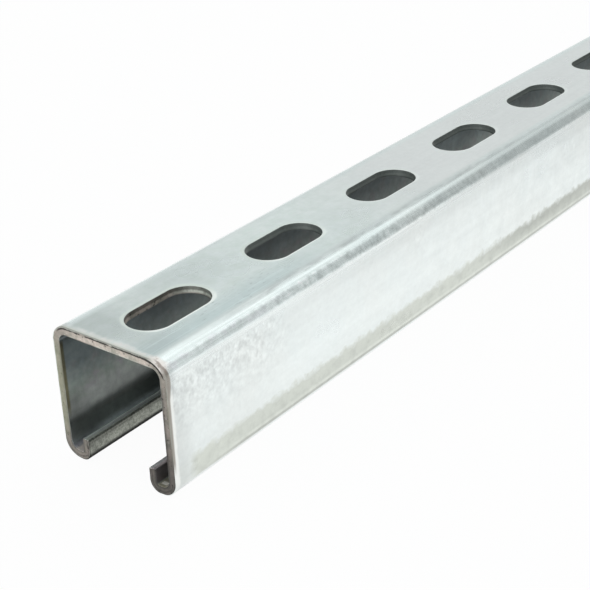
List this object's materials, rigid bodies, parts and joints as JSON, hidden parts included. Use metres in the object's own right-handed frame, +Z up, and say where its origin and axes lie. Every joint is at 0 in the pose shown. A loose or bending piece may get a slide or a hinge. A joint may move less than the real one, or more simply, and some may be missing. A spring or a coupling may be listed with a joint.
{
  "type": "slotted strut channel",
  "caption": "Straight roll-formed steel strut channel with slots along its web, an open side and in-turned lips.",
  "frame": {"origin": "middle of the length and width, at the floor under the lips", "axes": "+X along the length, with the first slot 24.1 mm from the cut end at -X; +Y across; +Z up, out of the slotted web"},
  "size_m": [0.6096, 0.0412, 0.0413],
  "materials": {
    "galvanised_zinc": "zinc-coated steel, satin"
  },
  "bodies": {
    "root": {"strut_channel": "galvanised_zinc"}
  },
  "joints": []
}
